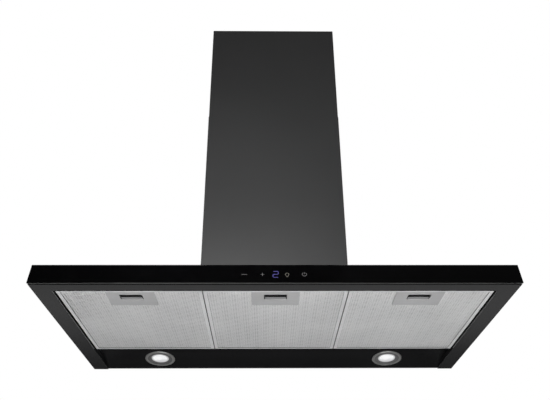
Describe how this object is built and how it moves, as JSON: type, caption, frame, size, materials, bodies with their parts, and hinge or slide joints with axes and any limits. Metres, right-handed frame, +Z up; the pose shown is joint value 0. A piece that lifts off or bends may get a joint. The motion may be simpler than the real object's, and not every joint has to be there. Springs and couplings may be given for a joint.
{
  "type": "chimney range hood",
  "caption": "Wall chimney hood: telescopic cover over a thin canopy with glass fascia, mesh grease filters, lamps, blower and outlet flaps.",
  "frame": {"origin": "middle of the lower rear edge of the canopy, on the wall plane", "axes": "+X along the wall to the right seen from in front, +Y into the wall, +Z up"},
  "size_m": [0.898, 0.525, 0.87],
  "materials": {
    "satin_black": "satin powder coat",
    "black_glass": "gloss, black-backed toughened glass",
    "foam": "matt foam tape",
    "dark_satin": "satin powder coat",
    "gloss_black": "gloss enamel",
    "zinc": "galvanised sheet",
    "grey_plastic": "moulded",
    "impeller_plastic": "moulded",
    "steel": "drawn",
    "motor_steel": "lacquered",
    "rubber": "matt",
    "screw_steel": "zinc plated",
    "black_plastic": "moulded",
    "flap_plastic": "moulded",
    "white_plastic": "moulded",
    "circuit_board": "solder resist",
    "capacitor_can": "moulded",
    "lead_sleeve": "insulated lead",
    "display": "gloss",
    "lamp_can": "die cast",
    "aluminium": "satin anodised",
    "mesh": "expanded aluminium",
    "latch": "satin",
    "bezel": "satin nickel",
    "lamp_lens": "frosted"
  },
  "bodies": {
    "hood": {"canopy_shell": "satin_black", "front_glass": "black_glass", "glass_tape": "foam", "underside_frame": "dark_satin", "light_panel": "gloss_black", "chimney_lower": "satin_black", "chimney_bracket_upper": "zinc", "chimney_bracket_lower": "zinc", "air_box": "zinc", "scroll_front": "grey_plastic", "scroll_rear": "grey_plastic", "motor_body": "motor_steel", "motor_bushes": "rubber", "motor_bracket": "zinc", "motor_screws": "screw_steel", "case_screws": "screw_steel", "inlet_guard": "grey_plastic", "outlet_adapter": "black_plastic", "outlet_collar": "black_plastic", "flap_pin": "steel", "control_box": "white_plastic", "control_box_lid": "white_plastic", "main_board": "circuit_board", "motor_capacitor": "capacitor_can", "cable_gland": "black_plastic", "led_driver": "white_plastic", "lamp_leads": "lead_sleeve", "touch_cable": "lead_sleeve", "wall_bracket": "zinc", "hang_hooks": "zinc", "control_housing": "black_plastic", "touch_board": "circuit_board", "display_module": "display", "lamp_housings": "lamp_can", "lamp_led_boards": "circuit_board", "lamp_clips": "steel", "lamp_left_bezel": "bezel", "lamp_left_lens": "lamp_lens", "lamp_right_bezel": "bezel", "lamp_right_lens": "lamp_lens"},
    "filter_left": {"filter_left_frame": "aluminium", "filter_left_mesh": "mesh", "filter_left_latch_cup": "aluminium", "filter_left_spring": "steel"},
    "filter_middle": {"filter_middle_frame": "aluminium", "filter_middle_mesh": "mesh", "filter_middle_latch_cup": "aluminium", "filter_middle_spring": "steel"},
    "filter_right": {"filter_right_frame": "aluminium", "filter_right_mesh": "mesh", "filter_right_latch_cup": "aluminium", "filter_right_spring": "steel"},
    "latch_left": {"filter_left_latch": "latch"},
    "latch_middle": {"filter_middle_latch": "latch"},
    "latch_right": {"filter_right_latch": "latch"},
    "impeller": {"impeller": "impeller_plastic", "motor_shaft": "steel"},
    "flap_left": {"flap_left": "flap_plastic"},
    "flap_right": {"flap_right": "flap_plastic"},
    "upper_cover": {"chimney_upper": "satin_black"}
  },
  "joints": [
    {"name": "filter_left_hinge", "type": "hinge", "parent": "hood", "child": "filter_left", "pos_m": [0, -0.14, 0.013], "axis": [1, 0, 0], "range_deg": [0, 65]},
    {"name": "filter_middle_hinge", "type": "hinge", "parent": "hood", "child": "filter_middle", "pos_m": [0, -0.14, 0.013], "axis": [1, 0, 0], "range_deg": [0, 65]},
    {"name": "filter_right_hinge", "type": "hinge", "parent": "hood", "child": "filter_right", "pos_m": [0, -0.14, 0.013], "axis": [1, 0, 0], "range_deg": [0, 65]},
    {"name": "latch_left_slide", "type": "slide", "parent": "filter_left", "child": "latch_left", "axis": [0, 1, 0], "range_m": [0, 0.0045], "stiffness_N_per_m": 300, "springref_m": -0.004, "deforming": ["filter_left_spring"]},
    {"name": "latch_middle_slide", "type": "slide", "parent": "filter_middle", "child": "latch_middle", "axis": [0, 1, 0], "range_m": [0, 0.0045], "stiffness_N_per_m": 300, "springref_m": -0.004, "deforming": ["filter_middle_spring"]},
    {"name": "latch_right_slide", "type": "slide", "parent": "filter_right", "child": "latch_right", "axis": [0, 1, 0], "range_m": [0, 0.0045], "stiffness_N_per_m": 300, "springref_m": -0.004, "deforming": ["filter_right_spring"]},
    {"name": "impeller_spin", "type": "hinge", "parent": "hood", "child": "impeller", "pos_m": [-0.0605, -0.1425, 0.1505], "axis": [0, 1, 0], "continuous": true},
    {"name": "flap_left_hinge", "type": "hinge", "parent": "hood", "child": "flap_left", "pos_m": [0, -0.1425, 0.315], "axis": [0, 1, 0], "range_deg": [0, 80]},
    {"name": "flap_right_hinge", "type": "hinge", "parent": "hood", "child": "flap_right", "pos_m": [0, -0.1425, 0.315], "axis": [0, -1, 0], "range_deg": [0, 80]},
    {"name": "upper_cover_slide", "type": "slide", "parent": "hood", "child": "upper_cover", "axis": [0, 0, 1], "range_m": [-0.3, 0.13]}
  ]
}
